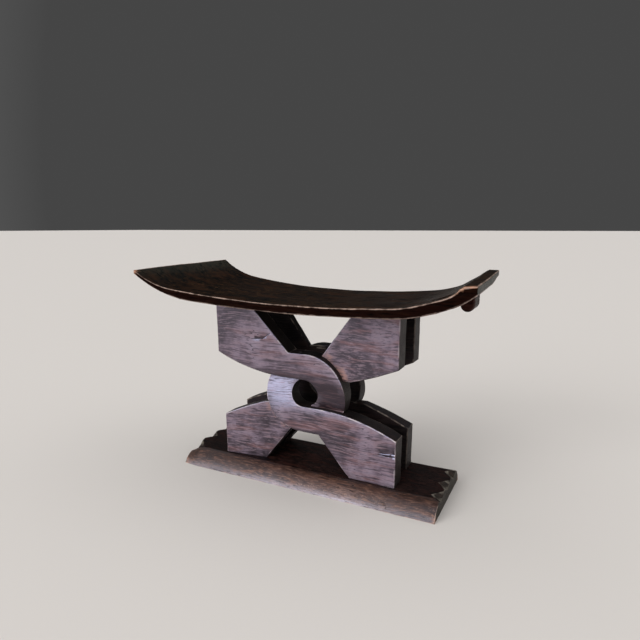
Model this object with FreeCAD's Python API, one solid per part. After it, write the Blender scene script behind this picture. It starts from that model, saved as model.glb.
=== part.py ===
import FreeCAD, Part

# Carved stool: a saddle seat on two parallel knot-shaped layers over a plank base.
# Origin: centre of the base's underside. +X runs along the seat, -Y is the front, +Z is up.

import math
import os

from FreeCAD import Vector

# Base plank
base_length = 437.0
base_width = 148.0
base_thickness = 25.6
nosing_reach = 24.0          # how far in the rounded long edges run over the top
notch_count = 3              # chip-carved notches along the top of each end
notch_spread = 80.0          # distance between the first and the last notch
notch_width = 34.0
notch_run = 14.0             # how far a notch runs in from the end
notch_drop = 9.0             # how far a notch runs down the end

# Knot: two layers of interlaced strands round one hole
knot_height = 148.5          # centre of the hole above the floor
front_face = 46.0            # front of the front layer, ahead of the middle
rear_face = 48.0             # back of the rear layer, behind the middle
front_layer = 29.5           # thickness of the front layer
rear_layer = 26.5            # thickness of the rear layer
lap_depth = 12.0             # thickness of the strand that passes over at a crossing
hole_radius = 21.5
hook_radius = 62.5           # outer radius of the hooks round the hole
hook_shift = 5.0             # hook's centre, away from its own arm
hole_shift = 1.0             # hook's inner centre, away from its own arm
hook_split = 8.0             # where the hidden tongues meet, beyond the hole's centre
hook_dip_start = 21.0        # height above the hole's centre where a hook starts to dip

# Long arms, which run into the hooks
front_top_reach = 156.5      # end of the front layer's upper long arm, from the middle
rear_top_reach = 152.0
long_foot_reach = 150.5      # end of a lower long arm
long_heel = 51.0             # height of a long arm's outer corner over the hole's centre
long_throat = 25.5           # inner corner between arm and hook, from the middle
long_top_width = 42.3        # width of an upper long arm, level with the seat's top
long_foot_width = 52.2       # width of a lower long arm, at the floor
belly_start = 24.0           # where the arm's curved edge leaves the hook, from the middle

# Short arms, the far ends of the strands that come out from under the hooks
short_top_reach = 150.3
short_foot_reach = 147.5
short_heel = 55.0
short_toe = 74.0             # inner end of the short arm's long edge, from the middle
short_toe_height = 25.0
short_hollow = 1.2           # sag of the short arm's long edge
short_throat = 24.0
short_top_width = 53.6
short_foot_width = 54.8
short_dip_end = 50.0         # where the sloping face reaches the depth of the lap
tongue_margin = 4.0          # hidden tongues stay this far inside the hook above them
toe_round = 4.0

# Saddle seat: a long gentle curve in the middle, and a tighter one towards each end
seat_height = 293.0          # top of the seat at its middle
seat_length = 520.0
seat_width = 227.0
seat_thickness = 11.2        # at the middle
seat_left_tip = 5.4          # upright thickness of the left end
seat_right_tip = 12.0        # and of the right end
seat_left_rise = 41.4        # height of the left end's upper edge over the middle
seat_right_rise = 42.3
seat_right_level = 17.0      # the right end is cut level over this length
seat_fall = 6.5              # the whole seat leans down to the right by this much
seat_sweep_radius = 1580.0   # upper face: curve of the middle, and where the tighter curves begin
seat_left_run = 73.0
seat_right_run = 104.0
under_sweep_radius = 2010.0  # the same for the underside
under_left_run = 109.0
under_right_run = 108.0
seat_end_bow = 4.0           # bulge of each end in plan
seat_corner = 7.0
seat_arris = 1.6
seat_end_spare = 6.0         # the bent plank runs past its ends before they are cut upright

# Lugs carved under the seat's ends
lug_width = 18.5
lug_length = 38.0
lug_drop = 18.0              # how far the lug hangs below the seat
lug_from_end = 28.0          # middle of the lug, in from the seat's end
lug_arris = 1.5

# Joints and edges
seat_housing = 3.0           # arms are let into the seat by this much
base_housing = 4.0           # and into the base
arris = 1.1                  # eased edges of the arms
overrun = 20.0               # cutting bodies run past what they cut

# Shares
nosing_bulge_shares = (0.38, 0.66)
square_share = 0.9           # how squarely an edge or a face points to count as that way
seat_face_share = 0.7        # the same for the bent seat's upper face and underside


def edge_line(a, b):
    return Part.LineSegment(Vector(a[0], 0, a[1]), Vector(b[0], 0, b[1])).toShape()


def edge_arc(a, middle, b):
    points = [Vector(x, 0, z) for x, z in (a, middle, b)]
    return Part.Arc(*points).toShape()


def on_circle(centre, radius, angle):
    return (centre[0] + radius * math.cos(angle), centre[1] + radius * math.sin(angle))


def long_arm_outline(end):
    """Upper long arm with its hook, seen from the front, about the hole's centre."""
    rise, long_reach, width, _, _ = end
    hook = (hook_shift, 0)
    hole = (hole_shift, 0)
    hook_end = -math.acos((hook_split - hook_shift) / hook_radius)
    hole_end = -math.acos((hook_split - hole_shift) / hole_radius)

    belly_run = long_reach - belly_start
    belly_rise = long_heel - hole_radius
    belly_radius = (belly_run ** 2 + belly_rise ** 2) / (2 * belly_rise)
    belly_half = math.asin(belly_run / belly_radius) / 2
    belly_middle = (
        -belly_start - belly_radius * math.sin(belly_half),
        hole_radius + belly_radius * (1 - math.cos(belly_half)),
    )

    heel = (-long_reach, long_heel)
    top_outer = (-long_reach, rise)
    top_inner = (width - long_reach, rise)
    throat = (-long_throat, hook_radius)
    hook_top = (hook_shift, hook_radius)
    hook_tip = on_circle(hook, hook_radius, hook_end)
    hole_tip = on_circle(hole, hole_radius, hole_end)
    hole_top = (hole_shift, hole_radius)
    belly = (-belly_start, hole_radius)
    quarter = math.pi / 2
    edges = [
        edge_line(heel, top_outer),
        edge_line(top_outer, top_inner),
        edge_line(top_inner, throat),
        edge_line(throat, hook_top),
        edge_arc(hook_top, on_circle(hook, hook_radius, (quarter + hook_end) / 2), hook_tip),
        edge_line(hook_tip, hole_tip),
        edge_arc(hole_tip, on_circle(hole, hole_radius, (quarter + hole_end) / 2), hole_top),
        edge_line(hole_top, belly),
        edge_arc(belly, belly_middle, heel),
    ]
    return Part.Wire(edges)


def short_arm_outline(end):
    """Upper short arm with the tongue that passes under the hook."""
    rise, _, _, short_reach, width = end
    throat = (short_throat, hook_radius - tongue_margin)
    top_inner = (short_reach - width, rise)
    top_outer = (short_reach, rise)
    heel = (short_reach, short_heel)
    toe = (short_toe, short_toe_height)
    tongue_top = (-hook_split, hook_radius - tongue_margin)
    tongue_bottom = (-hook_split, short_toe_height)
    sag = Vector(heel[1] - toe[1], 0, toe[0] - heel[0]).normalize() * short_hollow
    middle = ((heel[0] + toe[0]) / 2 + sag.x, (heel[1] + toe[1]) / 2 + sag.z)
    edges = [
        edge_line(tongue_bottom, tongue_top),
        edge_line(tongue_top, throat),
        edge_line(throat, top_inner),
        edge_line(top_inner, top_outer),
        edge_line(top_outer, heel),
        edge_arc(heel, middle, toe),
        edge_line(toe, tongue_bottom),
    ]
    return Part.Wire(edges)


def run_back(outline, start, end):
    """An outline run back from depth start to depth end behind the layer's face."""
    face = Part.Face(outline)
    face.translate(Vector(0, start, 0))
    return face.extrude(Vector(0, end - start, 0))


def half_turn(shape):
    """The same form turned half round about the hole's axis."""
    turned = shape.copy()
    turned.rotate(Vector(0, 0, 0), Vector(0, 1, 0), 180)
    return turned


def eased(body, faces_wanted, width):
    """Bevel the rims of the faces that the test picks, and no edge between two of them."""
    edges = []
    for face in body.Faces:
        if faces_wanted(face):
            edges += face.OuterWire.Edges
    rims = [edge for edge in edges if sum(edge.isSame(other) for other in edges) == 1]
    return body.makeChamfer(width, rims)


def looks_along_depth(face):
    return abs(face.normalAt(0, 0).y) > square_share


def slab(low, high):
    """A wide slab between two heights about the hole's centre."""
    size = 2 * seat_length
    box = Part.makeBox(size, size, high - low)
    box.translate(Vector(-size / 2, -size / 2, low))
    return box


def long_arm(layer, end):
    """Upper long arm: over the other strand above the hole, and under it below."""
    outline = long_arm_outline(end)
    above_hole = slab(0, seat_height)
    below_hole = slab(-seat_height, 0)
    body = eased(run_back(outline, 0, layer), looks_along_depth, arris)
    other_hook = half_turn(run_back(outline, lap_depth, layer + overrun))
    other_arm = under_hook(short_arm_form(layer + overrun, end), end)
    body = body.cut(other_hook.common(above_hole)).cut(other_arm)
    dip = [
        (-overrun, hook_dip_start),
        (0, hook_dip_start),
        (lap_depth, -hole_radius),
        (lap_depth, -hook_radius - overrun),
        (-overrun, -hook_radius - overrun),
    ]
    wire = Part.makePolygon([Vector(-hook_radius, y, z) for y, z in dip + dip[:1]])
    body = body.cut(Part.Face(wire).extrude(Vector(3 * hook_radius, 0, 0)))
    crossing = half_turn(run_back(outline, -overrun, lap_depth))
    return body.cut(crossing.common(below_hole))


def short_arm_form(layer, end):
    """Upper short arm with sharp edges: its face slopes back all the way to the tongue's end."""
    short_reach = end[3]
    run = short_reach + hook_split
    dip = lap_depth * run / (short_reach - short_dip_end)
    body = run_back(short_arm_outline(end), 0, layer)
    slope = [(short_reach, 0), (-hook_split, dip), (-hook_split, -overrun), (short_reach, -overrun)]
    wire = Part.makePolygon([Vector(x, y, 0) for x, y in slope + slope[:1]])
    body = body.cut(Part.Face(wire).extrude(Vector(0, 0, seat_height)))
    return body.makeFillet(toe_round, [edge for edge in body.Edges if is_toe(edge)])


def under_hook(arm, end):
    """A short arm, cut back where the hook lies over it."""
    return arm.cut(run_back(long_arm_outline(end), -overrun, lap_depth))


def short_arm(layer, end):
    return under_hook(eased(short_arm_form(layer, end), looks_along_depth, arris), end)


def is_toe(edge):
    """The short arm's corner that points at the hook, as an edge along the depth."""
    corner = Vector(short_toe, 0, short_toe_height)
    points = [vertex.Point for vertex in edge.Vertexes]
    return all(Vector(point.x, 0, point.z).isEqual(corner, arris) for point in points)


def upper_face():
    """The curve of the seat's upper face: height and radius in the middle, then the two ends.

    An end has the run of its tighter curve, the length of its level cut, and its rise."""
    left = (seat_left_run, 0, seat_left_rise)
    right = (seat_right_run, seat_right_level, seat_right_rise)
    return seat_height, seat_sweep_radius, left, right


def underside():
    """The same for the seat's underside."""
    left = (under_left_run, 0, seat_left_rise + seat_thickness - seat_left_tip)
    right = (under_right_run, 0, seat_right_rise + seat_thickness - seat_right_tip)
    return seat_height - seat_thickness, under_sweep_radius, left, right


def curve_height(curve, x):
    """Height of one of the seat's two curves at x."""
    height, sweep_radius, left, right = curve
    run, level, rise = left if x < 0 else right
    start = seat_length / 2 - run
    fall = seat_fall * x / seat_length
    if abs(x) <= start:
        return height - fall + sweep_radius - math.sqrt(sweep_radius ** 2 - x ** 2)
    if level and abs(x) >= seat_length / 2 - level:
        return height - fall + rise
    turn = math.asin(start / sweep_radius)
    start_height = sweep_radius * (1 - math.cos(turn))
    across = run - level
    up = rise - start_height
    radius = (across ** 2 + up ** 2) / (up * math.cos(turn) - across * math.sin(turn)) / 2
    side = abs(x) - start + radius * math.sin(turn)
    lift = start_height + radius * math.cos(turn) - math.sqrt(radius ** 2 - side ** 2)
    return height - fall + lift


def curve_edges(curve, lift):
    """One of the seat's two curves from left to right, raised by lift."""
    half = seat_length / 2
    far = half + seat_end_spare
    left, right = curve[2:]
    bend_end = half - right[1] if right[1] else far
    places = (-far, left[0] - half, half - right[0], bend_end)
    edges = []
    for start, end in zip(places, places[1:]):
        points = [(x, curve_height(curve, x) + lift) for x in (start, (start + end) / 2, end)]
        edges.append(edge_arc(*points))
    if bend_end < far:
        edges.append(edge_line(*[(x, curve_height(curve, x) + lift) for x in (bend_end, far)]))
    return edges


def seat_body():
    """The bent plank, with bowed ends and rounded corners, before its housings are cut."""
    top = curve_edges(upper_face(), 0)
    under = curve_edges(underside(), 0)
    left_top, left_low = top[0].Vertexes[0].Point, under[0].Vertexes[0].Point
    right_top, right_low = top[-1].Vertexes[-1].Point, under[-1].Vertexes[-1].Point
    ends = [
        Part.LineSegment(right_top, right_low).toShape(),
        Part.LineSegment(left_low, left_top).toShape(),
    ]
    side = Part.Wire(top + ends[:1] + under[::-1] + ends[1:])
    deep = seat_width / 2 + overrun
    plank = Part.Face(side).extrude(Vector(0, 2 * deep, 0))
    plank.translate(Vector(0, -deep, 0))
    return eased(plank.common(seat_plan()), looks_up_or_down, seat_arris)


def seat_plan():
    """Upright prism with the seat's outline from above: bowed ends and rounded corners."""
    half = seat_length / 2
    waist = half - seat_end_bow
    deep = seat_width / 2
    corners = [Vector(-waist, -deep, 0), Vector(waist, -deep, 0)]
    corners += [Vector(waist, deep, 0), Vector(-waist, deep, 0)]
    edges = [
        Part.LineSegment(corners[0], corners[1]).toShape(),
        Part.Arc(corners[1], Vector(half, 0, 0), corners[2]).toShape(),
        Part.LineSegment(corners[2], corners[3]).toShape(),
        Part.Arc(corners[3], Vector(-half, 0, 0), corners[0]).toShape(),
    ]
    prism = Part.Face(Part.Wire(edges)).extrude(Vector(0, 0, 2 * seat_height))
    return prism.makeFillet(seat_corner, [edge for edge in prism.Edges if is_upright(edge)])


def is_upright(edge):
    if len(edge.Vertexes) < 2:
        return False
    run = edge.Vertexes[1].Point - edge.Vertexes[0].Point
    return abs(run.z) > square_share * run.Length


def looks_up_or_down(face):
    first, last, low, high = face.ParameterRange
    return abs(face.normalAt((first + last) / 2, (low + high) / 2).z) > seat_face_share


def over_seat_underside(lift):
    """Everything above the seat's underside, raised by lift."""
    under = curve_edges(underside(), lift)
    first, last = under[0].Vertexes[0].Point, under[-1].Vertexes[-1].Point
    high = 2 * seat_height
    edges = under + [
        edge_line((last.x, last.z), (last.x, high)),
        edge_line((last.x, high), (first.x, high)),
        edge_line((first.x, high), (first.x, first.z)),
    ]
    block = Part.Face(Part.Wire(edges)).extrude(Vector(0, seat_width, 0))
    block.translate(Vector(0, -seat_width / 2, 0))
    return block


def base_body():
    """The base plank with its rounded long edges and chip-carved ends."""
    deep = base_width / 2
    flat = deep - nosing_reach
    bulge_in, bulge_up = nosing_bulge_shares
    bulge = (deep - nosing_reach * bulge_in, base_thickness * bulge_up)
    points = {
        "front_foot": (-deep, 0),
        "front_bulge": (-bulge[0], bulge[1]),
        "front_top": (-flat, base_thickness),
        "rear_top": (flat, base_thickness),
        "rear_bulge": bulge,
        "rear_foot": (deep, 0),
    }
    at = {name: Vector(-base_length / 2, y, z) for name, (y, z) in points.items()}
    edges = [
        Part.Arc(at["front_foot"], at["front_bulge"], at["front_top"]).toShape(),
        Part.LineSegment(at["front_top"], at["rear_top"]).toShape(),
        Part.Arc(at["rear_top"], at["rear_bulge"], at["rear_foot"]).toShape(),
        Part.LineSegment(at["rear_foot"], at["front_foot"]).toShape(),
    ]
    plank = Part.Face(Part.Wire(edges)).extrude(Vector(base_length, 0, 0))
    step = notch_spread / (notch_count - 1)
    for index in range(notch_count):
        chip = end_notch(index * step - notch_spread / 2)
        plank = plank.cut(chip)
        chip.rotate(Vector(0, 0, 0), Vector(0, 0, 1), 180)
        plank = plank.cut(chip)
    return plank


def end_notch(y):
    """Three-sided chip that a V-shaped cut takes off the top of the right end."""
    edge = Vector(base_length / 2, y, base_thickness)
    inner = edge - Vector(notch_run, 0, 0)
    half = Vector(0, notch_width / 2, 0)
    rims = [edge - half, edge + half, edge - Vector(0, 0, notch_drop)]
    near, far, low = [inner + (rim - inner) * 2 for rim in rims]
    corners = [(inner, near, far), (inner, near, low), (inner, far, low), (near, far, low)]
    faces = [Part.Face(Part.makePolygon([a, b, c, a])) for a, b, c in corners]
    return Part.Solid(Part.Shell(faces))


def lug(side):
    """Half-round block under one end of the seat: side is -1 on the left, 1 on the right."""
    x = side * (seat_length / 2 - lug_from_end)
    radius = lug_width / 2
    spring = curve_height(underside(), x) - lug_drop + radius
    high = 2 * seat_height
    edges = [
        edge_line((x - radius, high), (x - radius, spring)),
        edge_arc((x - radius, spring), (x, spring - radius), (x + radius, spring)),
        edge_line((x + radius, spring), (x + radius, high)),
        edge_line((x + radius, high), (x - radius, high)),
    ]
    block = Part.Face(Part.Wire(edges)).extrude(Vector(0, lug_length, 0))
    block.translate(Vector(0, -lug_length / 2, 0))
    block = eased(block, looks_along_depth, lug_arris)
    return block.cut(over_seat_underside(0))


def placed(shape, rear):
    """A piece of a layer, moved to the front layer or turned round into the rear one."""
    piece = shape.copy()
    face = rear_face if rear else front_face
    piece.translate(Vector(0, -face, knot_height))
    if rear:
        piece.rotate(Vector(0, 0, 0), Vector(0, 0, 1), 180)
    return piece


def trimmed(arm):
    """An arm's ends, cut to the housings in the seat and the base."""
    below = slab(-seat_height, base_thickness - base_housing)
    return arm.cut(below).cut(over_seat_underside(seat_housing))


def knot_arms():
    """The eight arms by node name, four in each layer."""
    arms = {}
    rise = curve_height(upper_face(), -front_top_reach) - knot_height
    lower = (knot_height, long_foot_reach, long_foot_width, short_foot_reach, short_foot_width)
    layers = (("front", front_layer, front_top_reach), ("rear", rear_layer, rear_top_reach))
    for layer_name, thickness, top_reach in layers:
        rear = layer_name == "rear"
        upper = (rise, top_reach, long_top_width, short_top_reach, short_top_width)
        forms = {
            "upper_hook_arm": long_arm(thickness, upper),
            "lower_hook_arm": half_turn(long_arm(thickness, lower)),
            "upper_short_arm": short_arm(thickness, upper),
            "lower_short_arm": half_turn(short_arm(thickness, lower)),
        }
        for name, form in forms.items():
            arms[layer_name + "_" + name] = trimmed(placed(form, rear))
    return arms


def build():
    pieces = knot_arms()
    seat = seat_body()
    base = base_body()
    for arm in list(pieces.values()):
        seat = seat.cut(arm)
        base = base.cut(arm)
    pieces["saddle_seat"] = seat
    pieces["base_plank"] = base
    pieces["left_seat_lug"] = lug(-1)
    pieces["right_seat_lug"] = lug(1)
    return pieces


os.makedirs("parts", exist_ok=True)
for node, shape in build().items():
    shape.exportStep("parts/" + node + ".step")
    print(node, len(shape.Solids), "solids, valid", shape.isValid(), "volume", round(shape.Volume))
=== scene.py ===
# A carved stool: a dark saddle seat with lugs under its ends, two layers of interlaced strands, and
# a plank base. Every piece is a hand-finished copy of its solid, or is bent from a slab as the seat
# is. Metres, Z up, -Y is the front.

import math

import bmesh
import bpy
from mathutils import Matrix, Vector, kdtree, noise


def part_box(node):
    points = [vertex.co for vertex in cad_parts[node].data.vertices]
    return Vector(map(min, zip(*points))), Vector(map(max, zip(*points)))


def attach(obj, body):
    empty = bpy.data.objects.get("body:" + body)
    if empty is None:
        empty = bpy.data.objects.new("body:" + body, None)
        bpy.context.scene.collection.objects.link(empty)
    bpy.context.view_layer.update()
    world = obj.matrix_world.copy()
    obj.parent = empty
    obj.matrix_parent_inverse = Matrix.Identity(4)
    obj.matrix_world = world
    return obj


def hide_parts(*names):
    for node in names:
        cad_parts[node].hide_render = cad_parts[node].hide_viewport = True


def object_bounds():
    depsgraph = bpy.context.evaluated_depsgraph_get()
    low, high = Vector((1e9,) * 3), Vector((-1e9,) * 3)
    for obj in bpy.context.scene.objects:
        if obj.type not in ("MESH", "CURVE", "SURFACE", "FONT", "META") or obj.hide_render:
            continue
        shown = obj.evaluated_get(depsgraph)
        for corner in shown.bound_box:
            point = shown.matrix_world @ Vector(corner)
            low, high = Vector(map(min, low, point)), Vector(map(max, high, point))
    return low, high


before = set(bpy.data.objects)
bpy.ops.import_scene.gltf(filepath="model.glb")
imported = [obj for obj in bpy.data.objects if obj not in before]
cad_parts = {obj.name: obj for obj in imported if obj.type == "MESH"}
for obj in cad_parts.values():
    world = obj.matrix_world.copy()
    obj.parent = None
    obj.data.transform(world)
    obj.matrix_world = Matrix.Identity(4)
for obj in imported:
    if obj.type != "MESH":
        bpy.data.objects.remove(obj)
cad_low, cad_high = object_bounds()

# Camera
focal_pixels = 522.0
image_pixels = 640.0
drop_pixels = 40.0           # the lens axis meets the picture this far below its middle
sensor_width = 36.0
camera_place = (0.36176, -0.71603, 0.39599)
camera_yaw = 26.388
camera_pitch = 14.281
camera_roll = -0.045

# Knot
hole_height = 0.1485
hook_radius = 0.0625
hook_shift = 0.005
dip_start = 0.021            # height above the hole's centre where a hook starts to dip
dip_lean = 0.28              # how steeply it dips
dip_ease = 0.007             # how slowly the dip begins
dip_skin = 0.009             # the wood under the face that moves with it
rub_start = 0.002            # a short arm is rubbed pale from here
rub_width = 0.018            # out to here, measured from the hook that it passes under
sheen_reach = 0.012          # how far in from its upper edges an arm gets a painted highlight
edge_shade_reach = 0.010          # and how far from its lower edges it gets painted shade
meeting_gap = 0.002          # no wear where one strand runs into another
edge_lean = 0.2              # an edge is an upper or a lower one if its walls lean by more than this
wall_share = 0.5             # a face that looks along Y by less than this is such a wall
inner_depth = 0.0225         # faces this near the middle line the gap between the two layers
side_share = 0.6             # they, and faces that look along Y by less than this, are an arm's sides, and get a darker copy of its wood as painted shade

# Drying checks, as lines on the front face: X and Z of each point
arm_checks = {
    "front_lower_hook_arm": (
        ((0.1275, 0.0758), (0.1400, 0.0775), (0.1512, 0.0785)),
        ((0.1290, 0.0731), (0.1388, 0.0728), (0.1512, 0.0741)),
    ),
    "front_upper_hook_arm": (
        ((-0.0859, 0.2272), (-0.0711, 0.2284), (-0.0646, 0.2323), (-0.0569, 0.2379)),
    ),
}
check_width = 0.0010
check_depth = 0.0028
check_skin = 0.004           # only the mesh this near the front face is cut
check_line = 0.00005         # points this near the middle of a check are its bottom
check_over = 0.02            # a check may run past its end points by this share of its length
check_growth = (4, 8)        # how fast it deepens from its first point and from its last
check_least = 0.05

# Base plank
nosing_reach = 0.024
nosing_highlight_middle = 0.02          # the nosing is palest here, and painted shade grows over these distances from it
nosing_highlight_fade = (0.05, 0.17)
notch_run = 0.015
notch_drop = 0.010
notch_half = 0.058           # the notches lie within this distance of the middle line
notch_share = 0.2            # a face in a notch looks along X by more than this
flat_share = 0.97            # the flat top looks up by more than this
end_share = 0.7              # and an end looks along X by more than this
plank_wear = (0.026, 0.040, 0.34)  # worn left front corner: along, across, and share of height
plank_lean = 0.08            # and how far it leans back
corner_rub = (0.002, 0.012)  # the corners are pale out to the first distance, and fade to the second
worn_end = 0.16              # edges are worn from here out to the ends
worn_side = 0.052            # and from here out to the nosings
worn_drop = 0.006            # and all that lie this far under the top

# Seat, bent from a flat slab. Each curve has the height and the radius of its middle, then for the
# left end and for the right one the run of the tighter curve, the length of the level cut and the
# rise.
seat_thickness = 0.0112
seat_fall = 0.0065           # the whole seat leans down to the right by this much
seat_top = (0.2930, 1.580, (0.073, 0.0, 0.0414), (0.104, 0.017, 0.0423))
seat_under = (0.2818, 2.010, (0.109, 0.0, 0.0472), (0.108, 0.0, 0.0415))
rear_dip = 0.0016            # the middle is lower at the rear edge, and higher at the front
rear_lift = 0.0048           # the ends turn up more at the rear
corner_lift = 0.0018         # and the left rear corner and right front corner once more
rear_ramp = (0.195, 0.215, 0.0055)      # the right end's ramp starts further in at the rear
rear_thinning = (0.190, 0.258, 0.0065)  # the right end is thinner at the rear by this much
rear_part = 0.25             # the thinning starts this far from the middle to the rear edge
end_thinning = (0.242, 0.264, 0.0026)   # the right end's last stretch is thinner still
rear_pull = 0.0090           # the rear corners lie this far in
rear_follow = 0.75           # and the seat's curves follow them by this share
corner_round = 0.0015
top_arris = 0.0018
under_arris = 0.0015
slab_insets = (0.003, 0.0055)  # extra cuts this far in from the slab's edges

# The right front corner has a hollow from the first place to the second and a knob from the third
# on, and then their depth and height. Its wear has a start, a full place, a width and a depth.
front_knob = (0.198, 0.234, 0.243, 0.0028, 0.0015)
worn_corner = (0.208, 0.238, 0.0045, 0.0010)
worn_ragged = 0.6
worn_waves = (150.0, 60.0)   # waves of the ragged line in a metre, along the edge and in from it
worn_seed = 4.2
border_share = 0.8           # the wear has a pale border: how pale, how far in, and how far up
border_run = (0.0018, 0.0042)
border_rise = (0.80, 0.93)
tip_share = 0.95             # the left front tip is worn pale: how pale, and how far
tip_run = (0.003, 0.011)

# Slow unevenness of the worked surfaces and nicks in their edges: depth and reach of each
arm_sway, arm_nick = (0.0005, 0.035), (0.0003, 0.009)
base_sway, base_nick = (0.0007, 0.05), (0.0009, 0.010)
seat_sway, seat_nick = (0.0006, 0.05), (0.0006, 0.009)
lug_sway = (0.0003, 0.02)
nick_from = 0.15             # noise above this makes a nick
nick_growth = 2.5
seat_seed, lug_seed, base_seed = 3.0, 5.0, 7.0
arm_seed, arm_seed_step = 1.0, 5.3

# Meshes
weld_gap = 0.00001
flat_angle = math.radians(0.6)
sharp_angle = math.radians(24)
crease_angle = math.radians(40)
slab_angle = math.radians(60)
arm_round = 0.00045
base_round = 0.0007
arm_pitch = 0.006
wall_pitch = 0.005
arm_slices = ((0, arm_pitch), (2, arm_pitch), (1, wall_pitch))  # axis, and width of a slice along it
base_slices = ((2, 0.004), (1, 0.005), (0, 0.007))
slab_slices = ((2, 0.0019), (1, 0.007), (0, 0.005))
rim_step = 0.001
rim_limit = 0.020

# Grain: the noise at which each tone sets in and at which it is full
middle_at = (0.42, 0.57)
ruddy_at = (0.50, 0.64)
bloom_at = (0.54, 0.68)
light_at = (0.52, 0.70)
fine_ruddy_at = (0.53, 0.68)
fine_dark_at = (0.47, 0.33)
speck_at = (0.58, 0.70)
pore_share = 0.35

# Light: where each lamp stands, its power and its spread in degrees
lamps = {
    "front_window": ((-0.38, -0.77, 0.52), 0.75, 55.0),
    "low_window": ((-0.43, -0.87, 0.24), 1.75, 40.0),
    "right_panel": ((0.80, 0.30, 0.60), 0.4, 60.0),
}
front_level = 0.45
back_level = 0.06
front_to_back = (-0.6, 0.6)
top_level = 0.80
top_rise = (0.40, 0.85)
floor_half = 60.0
floor_colour = (0.63, 0.595, 0.565, 1.0)


def share_between(value, low, high):
    """How far a value has come from low to high, eased at both ends."""
    share = min(max((value - low) / (high - low), 0.0), 1.0)
    return share * share * (3 - 2 * share)


def curve_height(curve, x):
    """Height of one of the seat's two curves at x."""
    height, sweep, left, right = curve
    run, level, rise = left if x < 0 else right
    half = (cad_high.x - cad_low.x) / 2
    side = abs(x)
    start = half - run
    fall = seat_fall * x / half / 2
    if side <= start:
        return height - fall + sweep - math.sqrt(sweep ** 2 - side ** 2)
    if level and side >= half - level:
        return height - fall + rise
    turn = math.asin(start / sweep)
    start_rise = sweep * (1 - math.cos(turn))
    across = run - level
    up = rise - start_rise
    radius = (across ** 2 + up ** 2) / (up * math.cos(turn) - across * math.sin(turn)) / 2
    reach = side - start + radius * math.sin(turn)
    drop = math.sqrt(radius ** 2 - reach ** 2)
    return height - fall + start_rise + radius * math.cos(turn) - drop


def seat_heights(x, y_share):
    """Heights of the seat's underside and top; y_share is -1 at the front edge and 1 at the rear."""
    half = (cad_high.x - cad_low.x) / 2
    askew = (rear_lift * abs(x / half) ** 3 - rear_dip) * y_share
    askew -= math.copysign(corner_lift, x) * abs(x / half) ** 10 * y_share
    low, high, shift = rear_ramp
    moved = x + shift * max(0.0, y_share) * share_between(x, low, high)
    hollow, foot, knob, depth, height = front_knob
    front = max(0.0, -y_share) ** 2
    bump = height * share_between(x, knob, half)
    bump -= depth * share_between(x, hollow, foot) * (1 - share_between(x, foot, knob))
    low, high, thinning = rear_thinning
    thinner = thinning * share_between(x, low, high) * share_between(y_share, rear_part, 1.0)
    low, high, thinning = end_thinning
    thinner += thinning * share_between(x, low, high)
    under = curve_height(seat_under, x) + askew + thinner
    return under, curve_height(seat_top, moved) + askew + bump * front


def welded(node):
    """A copy of a solid's mesh, with its triangles joined and its flat faces made whole."""
    work = bmesh.new()
    work.from_mesh(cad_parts[node].data)
    bmesh.ops.remove_doubles(work, verts=work.verts, dist=weld_gap)
    bmesh.ops.dissolve_limit(
        work, angle_limit=flat_angle, use_dissolve_boundaries=False,
        verts=work.verts, edges=work.edges,
    )
    return work


def sharp_edges(work):
    return [
        edge for edge in work.edges if edge.is_manifold and edge.calc_face_angle() > sharp_angle
    ]


def points_along(edges):
    """Points a small step apart on each edge."""
    points = []
    for edge in edges:
        start, end = (vertex.co for vertex in edge.verts)
        steps = max(1, math.ceil((end - start).length / rim_step))
        points += [start.lerp(end, index / steps) for index in range(steps + 1)]
    return points


def eased(work, edges, width, segments):
    bmesh.ops.bevel(
        work, geom=edges, offset=width, offset_type="OFFSET", segments=segments, profile=0.5,
        affect="EDGES", clamp_overlap=True, material=-1,
    )
    bmesh.ops.triangulate(work, faces=[face for face in work.faces if len(face.verts) > 4])


def cut_at(work, axis, place):
    """Cut the whole mesh with a plane square to one axis."""
    square = Vector([1.0 if index == axis else 0.0 for index in range(3)])
    everything = work.verts[:] + work.edges[:] + work.faces[:]
    bmesh.ops.bisect_plane(work, geom=everything, plane_co=square * place, plane_no=square)


def cut_in_steps(work, axis, pitch):
    """Cut the mesh into even slices no wider than the pitch."""
    along = [vertex.co[axis] for vertex in work.verts]
    low, high = min(along), max(along)
    steps = max(1, math.ceil((high - low) / pitch))
    for index in range(1, steps):
        cut_at(work, axis, low + (high - low) * index / steps)


def distance_from(points):
    """A measure of how far any place is from the nearest of the given points."""
    tree = kdtree.KDTree(len(points))
    for index, point in enumerate(points):
        tree.insert(point, index)
    tree.balance()
    return lambda place: tree.find(place)[2]


def note_share(work, label, share_at):
    """Give each point a number worked out from its place."""
    layer = work.verts.layers.float.new(label)
    for vertex in work.verts:
        vertex[layer] = share_at(vertex.co)


def note_rim(work, points):
    away = distance_from(points)
    note_share(work, "rim", lambda place: min(away(place), rim_limit))


def note_near(work, label, points, reach):
    """1 at the given points, fading to 0 at a reach from them."""
    away = distance_from(points)
    note_share(work, label, lambda place: 1.0 - share_between(away(place), 0.0, reach))


def sway(work, depth, reach, seed):
    """Move each point along its normal by slow noise, as a surface worked with an adze."""
    work.normal_update()
    offset = Vector((seed, 2 * seed, 3 * seed))
    for vertex in work.verts:
        vertex.co += vertex.normal * depth * noise.noise(vertex.co / reach + offset)


def nick(work, depth, reach, seed):
    """Knock small hollows into the sharp edges, here and there."""
    work.normal_update()
    rim = work.verts.layers.float["rim"]
    offset = Vector((3 * seed, seed, 2 * seed))
    for vertex in work.verts:
        if vertex[rim] < rim_step:
            hit = max(0.0, noise.noise(vertex.co / reach + offset) - nick_from)
            vertex.co -= vertex.normal * min(depth, depth * nick_growth * hit)


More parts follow.
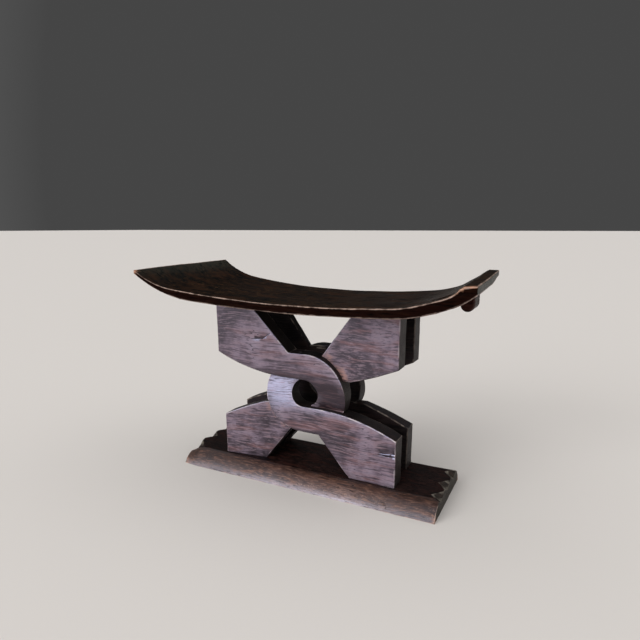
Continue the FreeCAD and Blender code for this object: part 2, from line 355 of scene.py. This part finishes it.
def finished(work, name, materials, node):
    """The piece made from a worked mesh, in place of its solid and inside its box."""
    low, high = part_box(node)
    for vertex in work.verts:
        vertex.co = [min(max(place, start), end) for place, start, end in zip(vertex.co, low, high)]
    mesh = bpy.data.meshes.new(name)
    work.to_mesh(mesh)
    work.free()
    mesh.polygons.foreach_set("use_smooth", [True] * len(mesh.polygons))
    mesh.set_sharp_from_angle(angle=crease_angle)
    for material in materials:
        mesh.materials.append(material)
    piece = bpy.data.objects.new(name, mesh)
    bpy.context.scene.collection.objects.link(piece)
    normals = piece.modifiers.new("even_normals", "WEIGHTED_NORMAL")
    normals.keep_sharp = True
    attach(piece, "root")
    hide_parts(node)
    return piece


def from_hook(point, side):
    """Distance of a point from the outer line of the hook whose centre lies to one side."""
    return math.hypot(point.x - side * hook_shift, point.z - hole_height) - hook_radius


def rubbed_by_hook(point):
    """1 where a short arm comes out from under a hook, fading to 0 away from it."""
    away = from_hook(point, math.copysign(1.0, point.x))
    return 1.0 - share_between(away, rub_start, rub_width)


def ease_dip(work, node):
    """Let a hook's face roll over slowly into its dip."""
    layer, level, _, _ = node.split("_")
    low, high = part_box(node)
    inward = 1.0 if layer == "front" else -1.0
    face = low.y if layer == "front" else high.y
    downward = 1.0 if level == "upper" else -1.0
    for vertex in work.verts:
        past = dip_start - downward * (vertex.co.z - hole_height)
        sharp = dip_lean * max(0.0, past)
        soft = dip_lean * dip_ease * math.log(1 + math.exp(past / dip_ease))
        under = (vertex.co.y - face) * inward - sharp
        vertex.co.y += inward * (soft - sharp) * max(0.0, 1 - max(0.0, under) / dip_skin)


def open_check(work, line, face_y):
    """Open a drying check along a line on the front face: a narrow groove that tapers at its ends."""
    depth_layer = work.verts.layers.float["check"]
    first_growth, last_growth = check_growth
    for (x0, z0), (x1, z1) in zip(line, line[1:]):
        start = Vector((x0, face_y, z0))
        along = Vector((x1 - x0, 0.0, z1 - z0))
        across = Vector((along.z, 0.0, -along.x)).normalized()
        middles = [
            (face, face.calc_center_median() - start)
            for face in work.faces if abs(face.normal.y) > 0.9
        ]
        near = [
            face for face, away in middles
            if abs(away.y) < check_skin and abs(away.dot(across)) < 2 * arm_pitch
            and -arm_pitch < away.dot(along.normalized()) < along.length + arm_pitch
        ]
        parts = near + list({edge for face in near for edge in face.edges})
        parts += list({vertex for face in near for vertex in face.verts})
        for offset in (-check_width / 2, 0.0, check_width / 2):
            cut = bmesh.ops.bisect_plane(
                work, geom=parts, plane_co=start + across * offset, plane_no=across
            )
            parts = cut["geom"]
        for vertex in work.verts:
            away = vertex.co - start
            run = away.dot(along) / along.length_squared
            on_line = abs(away.dot(across)) < check_line and abs(away.y) < check_skin
            if on_line and -check_over < run < 1 + check_over:
                total = (vertex.co.x - line[0][0]) / (line[-1][0] - line[0][0])
                opening = min(1.0, first_growth * max(check_least, total))
                closing = min(1.0, last_growth * max(check_least, 1 + check_over - total))
                vertex[depth_layer] = opening * closing


def carved_arm(node, face_wood, shaded_wood, seed):
    """One arm of the knot, with its edges rounded and its broad faces worked by hand."""
    layer, level, form, _ = node.split("_")
    short = form == "short"
    own_side = 1.0 if (layer == "front") == (level == "upper") else -1.0
    work = welded(node)
    edges = sharp_edges(work)
    rims = []
    for point in points_along(edges):
        meets_own = abs(from_hook(point, own_side)) < meeting_gap
        meets_other = abs(from_hook(point, -own_side)) < meeting_gap
        if not (short and (meets_own or meets_other)) and not (meets_other and not meets_own):
            rims.append(point)
    leans = {}
    for edge in edges:
        walls = [face.normal.z for face in edge.link_faces if abs(face.normal.y) < wall_share]
        leans[edge] = sum(walls, 0.0)
    upper = points_along(edge for edge in edges if leans[edge] > edge_lean)
    lower = points_along(edge for edge in edges if leans[edge] < -edge_lean)
    eased(work, edges, arm_round, 2)
    for axis, pitch in arm_slices:
        cut_in_steps(work, axis, pitch)
    note_rim(work, rims)
    # Painted highlight beside the upper edges.
    note_near(work, "sheen", upper, sheen_reach)
    # Painted shade beside the lower edges.
    note_near(work, "edge_shade", lower, edge_shade_reach)
    note_share(work, "rubbed", rubbed_by_hook if short else lambda point: 0.0)
    note_share(work, "check", lambda point: 0.0)
    if not short:
        ease_dip(work, node)
    for line in arm_checks.get(node, ()):
        open_check(work, line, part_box(node)[0].y)
    # Sides and the faces in the gap between the layers take the darker copy of the wood: painted
    # shade.
    for face in work.faces:
        inside = abs(face.calc_center_median().y) < inner_depth
        face.material_index = 1 if inside or abs(face.normal.y) < side_share else 0
    sway(work, *arm_sway, seed)
    nick(work, *arm_nick, seed)
    opened = work.verts.layers.float["check"]
    for vertex in work.verts:
        vertex.co.y += check_depth * vertex[opened]
    return finished(work, node + "_carved", (face_wood, shaded_wood), node)


def rubbed_plank(point):
    """1 at the plank's four corners and along the upright edges of its ends."""
    low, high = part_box("base_plank")
    half = (high - low) / 2
    from_end = half.x - abs(point.x)
    from_side = half.y - abs(point.y)
    tip = math.hypot(max(0.0, from_end), max(0.0, from_side))
    return 1.0 - share_between(tip, *corner_rub)


def wear_down(work):
    """Round off the plank's left front corner."""
    low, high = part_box("base_plank")
    along, across, depth = plank_wear
    start = low.y + nosing_reach
    for vertex in work.verts:
        share = 1 - share_between(vertex.co.x, low.x, low.x + along)
        share *= 1 - share_between(vertex.co.y, start, start + across)
        vertex.co.z -= depth * share * vertex.co.z
        vertex.co.y += plank_lean * share * (high.z - vertex.co.z)


def carved_base(nosing_wood, flat_wood):
    """The plank, with its edges rounded, its corner worn down and its underside left flat."""
    work = welded("base_plank")
    edges = sharp_edges(work)
    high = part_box("base_plank")[1]
    rims = [
        point for point in points_along(edges)
        if abs(point.x) > worn_end or abs(point.y) > worn_side or point.z < high.z - worn_drop
    ]
    eased(work, edges, base_round, 2)
    for axis, pitch in base_slices:
        cut_in_steps(work, axis, pitch)
    note_rim(work, rims)
    note_share(work, "rubbed", rubbed_plank)
    # Painted shade along the nosing, growing away from its palest middle.
    note_share(
        work, "shaded", lambda place: share_between(abs(place.x - nosing_highlight_middle), *nosing_highlight_fade)
    )
    for face in work.faces:
        middle = face.calc_center_median()
        endward = abs(face.normal.x)
        notch = abs(middle.x) > high.x - notch_run and middle.z > high.z - notch_drop
        notch = notch and abs(middle.y) < notch_half and endward > notch_share
        flat = face.normal.z > flat_share or endward > end_share or notch
        face.material_index = 1 if flat else 0
    resting = [vertex for vertex in work.verts if vertex.co.z < weld_gap]
    sway(work, *base_sway, base_seed)
    nick(work, *base_nick, base_seed)
    wear_down(work)
    for vertex in resting:
        vertex.co.z = 0.0
    return finished(
        work, "base_plank_carved", (nosing_wood, flat_wood), "base_plank"
    )


def carved_lug(node, material):
    """A lug under one end of the seat, with its edges rounded."""
    work = welded(node)
    edges = sharp_edges(work)
    rims = points_along(edges)
    eased(work, edges, arm_round, 2)
    for axis in (0, 1, 2):
        cut_in_steps(work, axis, wall_pitch)
    note_rim(work, rims)
    note_share(work, "rubbed", lambda point: 0.0)
    sway(work, *lug_sway, lug_seed)
    return finished(work, node + "_carved", (material,), node)


def corner_wear(x, from_front):
    """How far the seat's right front corner is worn: along the edge, and in from it."""
    start, full, width, _ = worn_corner
    along, across = worn_waves
    wave = noise.noise(Vector((x * along, from_front * across, worn_seed)))
    ragged = 1.0 + worn_ragged * wave
    return share_between(x, start, full), 1.0 - share_between(from_front, 0.0, width * ragged)


def slab(half, deep):
    """A flat slab with rounded corners and eased edges, and points along its rims."""
    work = bmesh.new()
    bmesh.ops.create_grid(work, x_segments=1, y_segments=1, size=1.0)
    bmesh.ops.scale(work, vec=(half, deep, 1), verts=work.verts)
    bmesh.ops.bevel(
        work, geom=work.verts[:], offset=corner_round, segments=5, profile=0.5,
        affect="VERTICES", material=-1,
    )
    raised = bmesh.ops.extrude_face_region(work, geom=work.faces[:], use_keep_orig=True)
    top = [item for item in raised["geom"] if isinstance(item, bmesh.types.BMVert)]
    bmesh.ops.translate(work, vec=(0, 0, seat_thickness), verts=top)
    bmesh.ops.recalc_face_normals(work, faces=work.faces)
    rims = [edge for edge in work.edges if edge.calc_face_angle(0) > slab_angle]
    rim_points = points_along(rims)
    for height, width in ((seat_thickness, top_arris), (0.0, under_arris)):
        edges = [
            edge for edge in work.edges
            if edge.calc_face_angle(0) > slab_angle
            and all(abs(vertex.co.z - height) < 1e-6 for vertex in edge.verts)
        ]
        eased(work, edges, width, 3)
    for axis, pitch in slab_slices:
        cut_in_steps(work, axis, pitch)
    for inset in slab_insets:
        cut_at(work, 1, inset - deep)
        cut_at(work, 1, deep - inset)
        cut_at(work, 0, half - inset)
        cut_at(work, 0, inset - half)
    return work, rim_points


def carved_seat(material):
    """The seat: a slab bent to the saddle, its wear noted by each point's place on the slab."""
    low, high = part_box("saddle_seat")
    half = (high.x - low.x) / 2
    deep = (high.y - low.y) / 2
    work, rim_points = slab(half, deep)
    note_rim(work, rim_points)
    rubbed = work.verts.layers.float.new("rubbed")
    worn_depth = worn_corner[3]
    for vertex in work.verts:
        flat = vertex.co.copy()
        from_front = flat.y + deep
        along, across = corner_wear(flat.x, from_front)
        share = flat.z / seat_thickness
        tip = math.hypot(max(0.0, flat.x + half), max(0.0, from_front))
        border = along * (1 - share_between(from_front, *border_run))
        border *= share_between(share, *border_rise)
        pale_tip = tip_share - tip_share * share_between(tip, *tip_run)
        vertex[rubbed] = max(border_share * border, pale_tip)
        y_share = flat.y / deep
        pulled = rear_pull * (0.5 + 0.5 * y_share)
        x = flat.x * (1 - pulled / half)
        under, upper = seat_heights(flat.x * (1 - rear_follow * pulled / half), y_share)
        worn = along * across
        height = under + share * (upper - under) - worn_depth * worn * share
        vertex.co = (x, flat.y, height)
    sway(work, *seat_sway, seat_seed)
    nick(work, *seat_nick, seat_seed)
    return finished(work, "saddle_seat_carved", (material,), "saddle_seat")


def add(tree, kind, settings=None, **inputs):
    """A shader node with its settings, and its inputs set or linked by name, or by number as _0."""
    made = tree.nodes.new(kind)
    for name, value in (settings or {}).items():
        setattr(made, name, value)
    for name, value in inputs.items():
        number = name[1:]
        socket = made.inputs[int(number) if number.isdigit() else name.replace("_", " ")]
        if isinstance(value, bpy.types.NodeSocket):
            tree.links.new(value, socket)
        else:
            socket.default_value = value
    return made


def maths(tree, operation, first, second=0.0):
    return add(tree, "ShaderNodeMath", {"operation": operation}, _0=first, _1=second).outputs[0]


def times(tree, first, second):
    return maths(tree, "MULTIPLY", first, second)


def ramp(tree, value, low, high, start=0.0, end=1.0):
    """A value stretched so that low becomes start and high becomes end."""
    limits = {"From_Min": low, "From_Max": high, "To_Min": start, "To_Max": end}
    return add(tree, "ShaderNodeMapRange", Value=value, **limits).outputs[0]


def attribute(tree, label):
    """A number that is stored at the mesh's points, 0 where the mesh has none of that name."""
    return add(tree, "ShaderNodeAttribute", {"attribute_name": label}).outputs["Fac"]


def mixed(tree, factor, first, second):
    """Two colours mixed by a factor."""
    mix = tree.nodes.new("ShaderNodeMix")
    mix.data_type = "RGBA"
    for socket, value in ((mix.inputs[0], factor), (mix.inputs[6], first), (mix.inputs[7], second)):
        if isinstance(value, bpy.types.NodeSocket):
            tree.links.new(value, socket)
        else:
            socket.default_value = value
    return mix.outputs[2]


def new_group(name, inputs, outputs):
    """An empty node group with named values coming in and going out."""
    tree = bpy.data.node_groups.new(name, "ShaderNodeTree")
    for label, value in inputs.items():
        socket = tree.interface.new_socket(label, in_out="INPUT", socket_type="NodeSocketFloat")
        socket.default_value = value
    for label in outputs:
        tree.interface.new_socket(label, in_out="OUTPUT", socket_type="NodeSocketFloat")
    given = tree.nodes.new("NodeGroupInput").outputs
    return tree, given, tree.nodes.new("NodeGroupOutput").inputs


def noise_at(tree, place, scale, detail, **settings):
    """Even noise at a place."""
    made = add(tree, "ShaderNodeTexNoise", Vector=place, Scale=scale, Detail=detail, **settings)
    return made.outputs["Fac"]


def grain_noise(tree, place, length, height, detail):
    """Noise drawn out along the grain."""
    size = add(tree, "ShaderNodeCombineXYZ", X=length, Y=height, Z=height).outputs[0]
    squeezed = add(tree, "ShaderNodeVectorMath", {"operation": "DIVIDE"}, _0=place, _1=size)
    return noise_at(tree, squeezed.outputs[0], 1.0, detail, Roughness=0.6)


def level_grain_group():
    """Wandering streaks along X, broad and fine, and pores; slow clouds, and level flecks."""
    tree, given, result = new_group(
        "level_grain",
        {"Streak length": 0.03, "Streak height": 0.0012, "Wander": 0.006},
        ("Fine", "Broad", "Cloud", "Pores", "Flecks"),
    )
    place = add(tree, "ShaderNodeTexCoord").outputs["Object"]
    lift = times(tree, noise_at(tree, place, 9.0, 2.0), given["Wander"])
    moved = add(tree, "ShaderNodeCombineXYZ", Z=lift, Y=lift).outputs[0]
    wavy = add(tree, "ShaderNodeVectorMath", {"operation": "ADD"}, _0=place, _1=moved).outputs[0]

    def grain_of(at, longer, higher, detail):
        length = times(tree, given["Streak length"], longer)
        height = times(tree, given["Streak height"], higher)
        return grain_noise(tree, at, length, height, detail)

    where = noise_at(tree, place, 11.0, 2.0)
    flecks = ramp(tree, grain_of(place, 0.22, 1.2, 2.0), *speck_at)
    flecks = times(tree, flecks, ramp(tree, where, 0.44, 0.62, 0.12, 1.0))
    made = {
        "Fine": grain_of(wavy, 1.0, 1.0, 3.0),
        "Broad": grain_of(wavy, 2.8, 5.0, 2.0),
        "Cloud": noise_at(tree, place, 17.0, 4.0, Roughness=0.6),
        "Pores": ramp(tree, grain_of(wavy, 0.2, 0.3, 1.0), *speck_at),
        "Flecks": flecks,
    }
    for label, value in made.items():
        tree.links.new(value, result[label])
    return tree


def edge_wear_and_light_group():
    """Ragged masks: lines on edges that look up or down, partly wear and partly painted highlight;
    rubbed places; painted highlight and painted shade beside edges.
    """
    tree, given, result = new_group(
        "edge_wear_and_light",
        {"Reach": 0.0012, "Ragged": 0.0012, "Patch size": 90.0},
        ("Upper", "Lower", "Rubbed", "Sheen", "Edge shade"),
    )
    at = add(tree, "ShaderNodeTexCoord").outputs
    rough = noise_at(tree, at["Object"], given["Patch size"], 4.0)
    spread = times(tree, ramp(tree, rough, 0.35, 0.65), given["Ragged"])
    edge = maths(tree, "ADD", attribute(tree, "rim"), spread)
    line = ramp(tree, edge, given["Reach"], 0.0003)
    lean = add(tree, "ShaderNodeSeparateXYZ", Vector=at["Normal"]).outputs
    upward = ramp(tree, lean["Z"], -0.25, 0.35)
    endward = ramp(tree, maths(tree, "ABSOLUTE", lean["X"]), 0.05, 0.30, 0.1, 1.0)
    downward = times(tree, line, maths(tree, "SUBTRACT", 1.0, upward))
    flaky = ramp(tree, rough, 0.35, 0.65, -0.80, 0.05)
    flaky = maths(tree, "ADD", attribute(tree, "rubbed"), flaky)
    patchy = ramp(tree, rough, 0.40, 0.62, 0.25, 1.0)
    made = {
        # Lines on edges that look up are partly wear and partly painted highlight; lines on lower
        # edges toward the ends are a painted highlight.
        "Upper": times(tree, line, upward),
        "Lower": times(tree, downward, endward),
        "Rubbed": ramp(tree, flaky, 0.05, 0.75),
        "Sheen": times(tree, attribute(tree, "sheen"), patchy),
        "Edge shade": times(tree, attribute(tree, "edge_shade"), patchy),
    }
    for label, value in made.items():
        tree.links.new(value, result[label])
    return tree


def drying_check_group():
    """Thin dark cracks along the grain, only here and there."""
    tree, given, result = new_group(
        "drying_checks", {"Length": 0.035, "Height": 0.005}, ("Mask",)
    )
    place = add(tree, "ShaderNodeTexCoord").outputs["Object"]
    run = grain_noise(tree, place, given["Length"], given["Height"], 1.0)
    line = ramp(tree, maths(tree, "ABSOLUTE", maths(tree, "SUBTRACT", run, 0.5)), 0.022, 0.004)
    where = noise_at(tree, place, 17.0, 1.0)
    tree.links.new(times(tree, line, ramp(tree, where, 0.60, 0.68)), result["Mask"])
    return tree


def wood_tone(tree, grain, wear_and_light, checks, finish):
    """The wood's colour, laid in this order: body, leaning faces with painted light and shade, grain,
    then wear, painted highlight and shade at the edges, and checks.
    """
    dark, middle, ruddy, light = finish["tones"]
    fine, broad, cloud = grain["Fine"], grain["Broad"], grain["Cloud"]
    facing = add(tree, "ShaderNodeTexCoord").outputs["Normal"]
    facing = add(tree, "ShaderNodeSeparateXYZ", Vector=facing).outputs
    body = mixed(tree, ramp(tree, cloud, *middle_at), dark, middle)
    patchy = ramp(tree, maths(tree, "ADD", broad, cloud), 0.80, 1.10, finish["lean_patch"], 1.0)
    endward = maths(tree, "ABSOLUTE", facing["X"])
    layers = [
        (ramp(tree, broad, *ruddy_at), ruddy),
        (ramp(tree, cloud, *bloom_at, 0.0, finish["bloom_share"]), finish["bloom_tone"]),
        (times(tree, grain["Flecks"], finish["fleck_share"]), finish["fleck_tone"]),
        (ramp(tree, fine, *light_at, 0.0, finish["light_share"]), light),
    ]
    # Tones by which way a face looks: painted light and shade.
    for start, end, share, tone in finish["leans"]:
        lean = ramp(tree, facing["Z"], start, end, 0.0, share)
        layers.append((times(tree, lean, patchy), tone))
    layers += [
        (ramp(tree, endward, 0.45, 0.80, 0.0, finish["end_share"]), finish["end_tone"]),
        # Painted shade toward the ends of the nosing.
        (times(tree, attribute(tree, "shaded"), 0.5), dark),
        # Painted highlight beside upper edges.
        (times(tree, wear_and_light["Sheen"], finish["sheen_share"]), finish["sheen_tone"]),
        (ramp(tree, fine, *fine_ruddy_at, 0.0, finish["ruddy_share"]), ruddy),
        (ramp(tree, fine, *fine_dark_at, 0.0, finish["dark_share"]), dark),
        (times(tree, grain["Pores"], pore_share), dark),
        # Painted shade beside lower edges.
        (times(tree, wear_and_light["Edge shade"], finish["edge_shade_share"]), dark),
        (times(tree, wear_and_light["Rubbed"], ramp(tree, fine, 0.3, 0.6)), finish["rubbed_tone"]),
        # Pale lines on edges: painted highlight, and partly wear on those that look up.
        (times(tree, wear_and_light["Lower"], finish["lower_share"]), finish["lower_tone"]),
        (wear_and_light["Upper"], finish["wear_and_highlight_tone"]),
        (checks, finish["check_tone"]),
    ]
    for share, tone in layers:
        body = mixed(tree, share, body, tone)
    return body


def stained_wood(name, groups, finish):
    """Stained wood: its tones follow the grain, with painted light and shade on leaning faces and
    beside edges; its rubbed places and edges show paler wood.
    """
    material = bpy.data.materials.new(name)
    material.use_nodes = True
    tree = material.node_tree
    surface = tree.nodes["Principled BSDF"].inputs
    group = "ShaderNodeGroup"
    grain = add(tree, group, {"node_tree": groups["grain"]}, **finish["grain"]).outputs
    wear_and_light = add(tree, group, {"node_tree": groups["wear_and_light"]}, **finish["wear_and_light"]).outputs
    checks = add(tree, group, {"node_tree": groups["checks"]}).outputs["Mask"]
    opened = ramp(tree, attribute(tree, "check"), 0.02, 0.12)
    checks = maths(tree, "MAXIMUM", checks, opened)
    tree.links.new(wood_tone(tree, grain, wear_and_light, checks, finish), surface["Base Color"])

    grained = maths(tree, "ADD", grain["Fine"], grain["Broad"])
    shine = ramp(tree, grained, 0.7, 1.3, *finish["roughness"])
    shine = maths(tree, "ADD", shine, times(tree, wear_and_light["Rubbed"], 0.12))
    shine = maths(tree, "ADD", shine, times(tree, checks, 0.5))
    tree.links.new(shine, surface["Roughness"])
    surface["Specular IOR Level"].default_value = finish["gloss"]
    surface["Specular Tint"].default_value = finish["gloss_tint"]

    height = maths(tree, "SUBTRACT", grain["Fine"], times(tree, grain["Pores"], 0.35))
    height = maths(tree, "SUBTRACT", height, times(tree, checks, 1.5))
    bump = {"Strength": finish["bump"], "Distance": 0.0003, "Height": height}
    raised = add(tree, "ShaderNodeBump", **bump)
    tree.links.new(raised.outputs[0], surface["Normal"])
    return material


# Every finish has four tones, dark, middle, ruddy and light, and tones for the faces that lean: from
# and to which lean, how much, and the tone. The lean is the height of the surface's normal, 1 where
# it looks up. A share says how strongly its tone is laid on.
# The tones for leaning faces paint light and shade by which way a face looks.
arm_finish = {
    "grain": {"Streak_length": 0.044, "Streak_height": 0.0024, "Wander": 0.016},
    "wear_and_light": {"Reach": 0.0015, "Ragged": 0.0016, "Patch_size": 70.0},
    # The lilac of the middle, light, bloom and fleck tones is partly the wood's own tone and partly a
    # painted reflection of the front light.
    "tones": (
        (0.009, 0.0045, 0.005, 1), (0.133, 0.096, 0.125, 1),
        (0.112, 0.051, 0.048, 1), (0.37, 0.30, 0.37, 1),
    ),
    "light_share": 0.6, "dark_share": 0.95, "ruddy_share": 0.6, "lean_patch": 0.7,
    "bloom_tone": (0.22, 0.178, 0.222, 1), "bloom_share": 0.75,
    "fleck_tone": (0.34, 0.26, 0.31, 1), "fleck_share": 0.3,
    # Faces that tilt up get a pale bluish painted reflection; faces that tilt down into the dips get
    # painted shade.
    "leans": (
        (0.05, 0.24, 0.85, (0.35, 0.385, 0.56, 1)),
        (-0.02, -0.14, 0.98, (0.008, 0.003, 0.003, 1)),
    ),
    "end_tone": (0.035, 0.030, 0.026, 1), "end_share": 0.0,
    "sheen_tone": (0.32, 0.26, 0.325, 1), "sheen_share": 0.6, "edge_shade_share": 0.8,
    "rubbed_tone": (0.30, 0.165, 0.135, 1), "wear_and_highlight_tone": (0.52, 0.46, 0.48, 1),
    "lower_tone": (0.10, 0.06, 0.05, 1), "lower_share": 0.2,
    "check_tone": (0.006, 0.004, 0.004, 1),
    "roughness": (0.32, 0.52), "gloss": 0.8, "gloss_tint": (0.85, 0.74, 0.94, 1), "bump": 0.6,
}
# A darker, duller copy of the arm's wood for its sides and the faces in the gap: painted shade.
arm_shaded_finish = dict(
    arm_finish,
    tones=(
        (0.004, 0.003, 0.003, 1), (0.013, 0.010, 0.009, 1),
        (0.016, 0.009, 0.008, 1), (0.060, 0.048, 0.040, 1),
    ),
    light_share=0.4, leans=(), end_share=0.7, sheen_share=0.0,
    bloom_tone=(0.024, 0.020, 0.018, 1),
    fleck_tone=(0.07, 0.05, 0.04, 1), fleck_share=0.1,
    rubbed_tone=(0.03, 0.018, 0.014, 1), wear_and_highlight_tone=(0.22, 0.18, 0.15, 1),
    roughness=(0.45, 0.60), gloss=0.18,
)
seat_finish = {
    "grain": {"Streak_length": 0.026, "Streak_height": 0.0030, "Wander": 0.012},
    "wear_and_light": {"Reach": 0.0019, "Ragged": 0.0007, "Patch_size": 120.0},
    "tones": (
        (0.0005, 0.0003, 0.0002, 1), (0.0034, 0.0015, 0.0009, 1),
        (0.018, 0.0062, 0.0027, 1), (0.055, 0.026, 0.011, 1),
    ),
    "light_share": 0.7, "dark_share": 0.95, "ruddy_share": 0.3, "lean_patch": 0.95,
    "bloom_tone": (0.013, 0.0065, 0.0036, 1), "bloom_share": 0.8,
    "fleck_tone": (0.15, 0.078, 0.035, 1), "fleck_share": 0.55,
    # Slopes that rise toward the ends get a grey-green painted reflection; the walls get a dark red
    # tone.
    "leans": (
        (0.96, 0.82, 0.45, (0.016, 0.017, 0.0135, 1)),
        (0.75, 0.45, 0.97, (0.006, 0.0014, 0.0009, 1)),
    ),
    "end_tone": (0.050, 0.052, 0.043, 1), "end_share": 0.8,
    "sheen_tone": (0.02, 0.01, 0.007, 1), "sheen_share": 0.0, "edge_shade_share": 0.0,
    "rubbed_tone": (0.44, 0.225, 0.140, 1), "wear_and_highlight_tone": (0.60, 0.43, 0.355, 1),
    # Pale lines on the lower edges of the ends: painted highlight.
    "lower_tone": (0.44, 0.37, 0.38, 1), "lower_share": 0.95,
    "check_tone": (0.004, 0.003, 0.003, 1),
    "roughness": (0.24, 0.36), "gloss": 0.01, "gloss_tint": (1.0, 0.96, 0.92, 1), "bump": 0.6,
}
lug_finish = dict(
    seat_finish,
    tones=(
        (0.003, 0.001, 0.001, 1), (0.014, 0.005, 0.0045, 1),
        (0.030, 0.010, 0.008, 1), (0.06, 0.025, 0.018, 1),
    ),
    leans=(), fleck_share=0.2, end_share=0.0, lower_share=0.1,
    wear_and_highlight_tone=(0.05, 0.022, 0.016, 1),
)
base_finish = {
    "grain": {"Streak_length": 0.011, "Streak_height": 0.0018, "Wander": 0.012},
    "wear_and_light": {"Reach": 0.0018, "Ragged": 0.0016, "Patch_size": 70.0},
    "tones": (
        (0.010, 0.005, 0.003, 1), (0.066, 0.033, 0.023, 1),
        (0.140, 0.064, 0.039, 1), (0.38, 0.25, 0.19, 1),
    ),
    "light_share": 0.65, "dark_share": 0.8, "ruddy_share": 0.6, "lean_patch": 0.75,
    "bloom_tone": (0.16, 0.10, 0.085, 1), "bloom_share": 0.7,
    "fleck_tone": (0.34, 0.22, 0.16, 1), "fleck_share": 0.6,
    # The flat top is near black and the nosing's upper band darker brown, partly the wood's tone and
    # partly painted shade; the low band is a pale lavender painted reflection.
    "leans": (
        (0.50, 0.80, 0.75, (0.050, 0.019, 0.011, 1)),
        (0.86, 0.97, 0.90, (0.006, 0.003, 0.003, 1)),
        (0.50, 0.15, 0.9, (0.52, 0.485, 0.56, 1)),
    ),
    "end_tone": (0.06, 0.055, 0.045, 1), "end_share": 0.5,
    "sheen_tone": (0.15, 0.10, 0.08, 1), "sheen_share": 0.0, "edge_shade_share": 0.0,
    "rubbed_tone": (0.42, 0.24, 0.17, 1), "wear_and_highlight_tone": (0.42, 0.30, 0.25, 1),
    "lower_tone": (0.12, 0.09, 0.08, 1), "lower_share": 0.5,
    "check_tone": (0.006, 0.004, 0.004, 1),
    "roughness": (0.28, 0.48), "gloss": 0.4, "gloss_tint": (0.95, 0.85, 0.95, 1), "bump": 0.8,
}
flat_finish = dict(
    base_finish,
    tones=(
        (0.002, 0.001, 0.001, 1), (0.008, 0.0045, 0.0045, 1),
        (0.026, 0.009, 0.007, 1), (0.075, 0.038, 0.032, 1),
    ),
    light_share=0.9, fleck_share=0.15, end_share=0.85,
    # Faces of this copy that do not look up, the ends and notches, get a pale olive-grey: painted
    # light.
    bloom_tone=(0.018, 0.009, 0.008, 1), leans=((0.92, 0.60, 0.95, (0.115, 0.105, 0.085, 1)),),
    end_tone=(0.075, 0.068, 0.055, 1), wear_and_highlight_tone=(0.16, 0.145, 0.12, 1),
    roughness=(0.42, 0.58), gloss=0.06,
)


def plain(name, colour, roughness):
    material = bpy.data.materials.new(name)
    material.use_nodes = True
    surface = material.node_tree.nodes["Principled BSDF"]
    surface.inputs["Base Color"].default_value = colour
    surface.inputs["Roughness"].default_value = roughness
    return material


def lay_floor():
    work = bmesh.new()
    bmesh.ops.create_grid(work, x_segments=1, y_segments=1, size=floor_half)
    mesh = bpy.data.meshes.new("floor")
    work.to_mesh(mesh)
    work.free()
    mesh.materials.append(plain("pale_floor", floor_colour, 0.9))
    floor = bpy.data.objects.new("floor", mesh)
    bpy.context.scene.collection.objects.link(floor)


def broad_light(name, towards, power, spread):
    """Light from one side of the room, as soft as its spread in degrees."""
    light = bpy.data.lights.new(name, "SUN")
    light.energy = power
    light.angle = math.radians(spread)
    lamp = bpy.data.objects.new(name, light)
    lamp.rotation_euler = Vector(towards).to_track_quat("Z", "Y").to_euler()
    bpy.context.scene.collection.objects.link(lamp)


def set_lights():
    for name, (towards, power, spread) in lamps.items():
        broad_light(name, towards, power, spread)
    world = bpy.data.worlds.new("studio")
    world.use_nodes = True
    bpy.context.scene.world = world
    tree = world.node_tree
    place = add(tree, "ShaderNodeTexCoord").outputs["Generated"]
    parts = add(tree, "ShaderNodeSeparateXYZ", Vector=place).outputs
    level = ramp(tree, parts["Y"], *front_to_back, front_level, back_level)
    level = maths(tree, "ADD", level, ramp(tree, parts["Z"], *top_rise, 0.0, top_level))
    tree.links.new(level, tree.nodes["Background"].inputs["Strength"])
    tree.nodes["Background"].inputs["Color"].default_value = (1.0, 1.0, 1.0, 1.0)


def set_camera():
    data = bpy.data.cameras.new("camera")
    data.sensor_width = sensor_width
    data.lens = sensor_width * focal_pixels / image_pixels
    data.shift_y = drop_pixels / image_pixels
    camera = bpy.data.objects.new("camera", data)
    turn = Matrix.Rotation(math.radians(camera_yaw), 4, "Z")
    tip = Matrix.Rotation(math.radians(90 - camera_pitch), 4, "X")
    roll = Matrix.Rotation(math.radians(camera_roll), 4, "Z")
    camera.matrix_world = Matrix.Translation(camera_place) @ turn @ tip @ roll
    bpy.context.scene.collection.objects.link(camera)
    bpy.context.scene.camera = camera


def make_stool():
    groups = {
        "grain": level_grain_group(), "wear_and_light": edge_wear_and_light_group(), "checks": drying_check_group(),
    }
    arm_wood = stained_wood("arm_wood", groups, arm_finish)
    arm_side_wood = stained_wood("arm_side_wood", groups, arm_shaded_finish)
    seat_wood = stained_wood("seat_wood", groups, seat_finish)
    lug_wood = stained_wood("lug_wood", groups, lug_finish)
    base_wood = stained_wood("base_wood", groups, base_finish)
    flat_wood = stained_wood("flat_base_wood", groups, flat_finish)
    carved_seat(seat_wood)
    for side in ("left", "right"):
        carved_lug(side + "_seat_lug", lug_wood)
    carved_base(base_wood, flat_wood)
    seed = arm_seed
    for layer in ("front", "rear"):
        for level in ("upper", "lower"):
            for form in ("hook", "short"):
                node = "_".join((layer, level, form, "arm"))
                carved_arm(node, arm_wood, arm_side_wood, seed)
                seed += arm_seed_step


make_stool()
lay_floor()
set_lights()
set_camera()
bpy.context.scene.view_settings.view_transform = "Standard"
